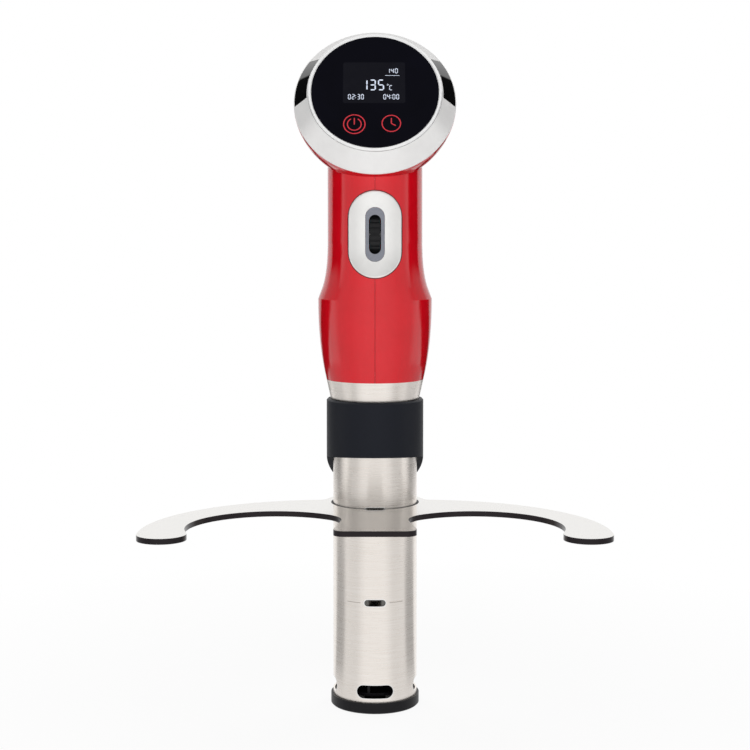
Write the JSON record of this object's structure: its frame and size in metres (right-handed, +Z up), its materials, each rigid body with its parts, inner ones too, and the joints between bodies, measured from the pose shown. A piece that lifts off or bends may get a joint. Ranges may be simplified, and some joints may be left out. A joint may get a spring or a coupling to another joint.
{
  "type": "sous vide circulator",
  "caption": "Handheld immersion circulator: steel sleeve, red grip with a tilted round display and thumb wheel, spring pot clip and a sliding steel rack with hooked arms.",
  "frame": {"origin": "centre of the base cap's underside, on the axis of the steel sleeve", "axes": "+Z up along the sleeve, the display faces -Y and up, the pot clip is at +Y"},
  "size_m": [0.247, 0.1707, 0.3856],
  "materials": {
    "red_shell": "polished moulded plastic",
    "silver_plate": "satin silver plating on plastic",
    "bright_trim": "polished plating",
    "gloss_black": "polished black plastic",
    "dark_glass": "polished, printed black from behind",
    "display": "display module",
    "circuit_board": "solder mask",
    "black_plastic": "fine matt moulded",
    "grey_plastic": "satin moulded",
    "white_plastic": "moulded",
    "silicone": "soft silicone",
    "wheel_rubber": "ribbed rubber",
    "sleeve_steel": "brushed round the tube",
    "rack_steel": "fine satin, cut edges dark",
    "steel": "bright steel",
    "motor_steel": "plated steel can",
    "bush_bronze": "sintered bronze",
    "heat_sink": "extruded aluminium"
  },
  "bodies": {
    "housing": {"handle_shell_left": "red_shell", "handle_shell_right": "red_shell", "head_bezel": "silver_plate", "bezel_insert_left": "gloss_black", "bezel_insert_right": "gloss_black", "trim_ring": "bright_trim", "face_glass": "dark_glass", "display_module": "display", "display_board": "circuit_board", "touch_pads": "silicone", "wheel_bezel": "silver_plate", "wheel_surround": "grey_plastic", "wheel_carrier": "black_plastic", "encoder": "black_plastic", "power_board": "circuit_board", "power_components": "black_plastic", "heatsink": "heat_sink", "cord_gland": "silicone", "shoulder_ring": "sleeve_steel", "steel_sleeve": "sleeve_steel", "base_cap": "black_plastic", "lower_bush": "bush_bronze", "upper_bush": "bush_bronze", "bulkhead": "white_plastic", "shaft_seal": "silicone", "heating_element": "steel", "temperature_probe": "steel", "level_electrodes": "steel", "motor_bracket": "white_plastic", "motor_can": "motor_steel", "clamp_collar": "black_plastic", "jaw_pad": "silicone", "hinge_pin": "steel", "torsion_spring": "steel"},
    "rotor": {"motor_shaft": "steel", "cooling_fan": "black_plastic", "shaft_coupling": "heat_sink", "drive_shaft": "steel", "impeller": "white_plastic"},
    "wheel": {"thumb_wheel": "wheel_rubber", "wheel_axle": "steel"},
    "clip": {"clip_lever": "black_plastic", "lever_pad": "silicone"},
    "rack_ring": {"rack_grommet": "silicone"},
    "rack": {"bottle_rack": "rack_steel"}
  },
  "joints": [
    {"name": "rotor_spin", "type": "hinge", "parent": "housing", "child": "rotor", "pos_m": [0, 0, 0.1], "axis": [0, 0, 1], "continuous": true},
    {"name": "wheel_turn", "type": "hinge", "parent": "housing", "child": "wheel", "pos_m": [0, -0.0166, 0.2704], "axis": [1, 0, 0], "continuous": true},
    {"name": "clip_open", "type": "hinge", "parent": "housing", "child": "clip", "pos_m": [0, 0.041, 0.16], "axis": [1, 0, 0], "range_deg": [0, 25], "stiffness_Nm_per_rad": 0.25, "springref_deg": -34.38, "deforming": ["torsion_spring"]},
    {"name": "rack_slide", "type": "slide", "parent": "housing", "child": "rack_ring", "axis": [0, 0, 1], "range_m": [-0.1065, 0.004]},
    {"name": "rack_swivel", "type": "hinge", "parent": "rack_ring", "child": "rack", "pos_m": [0, 0, 0.1149], "axis": [0, 0, 1], "continuous": true}
  ]
}
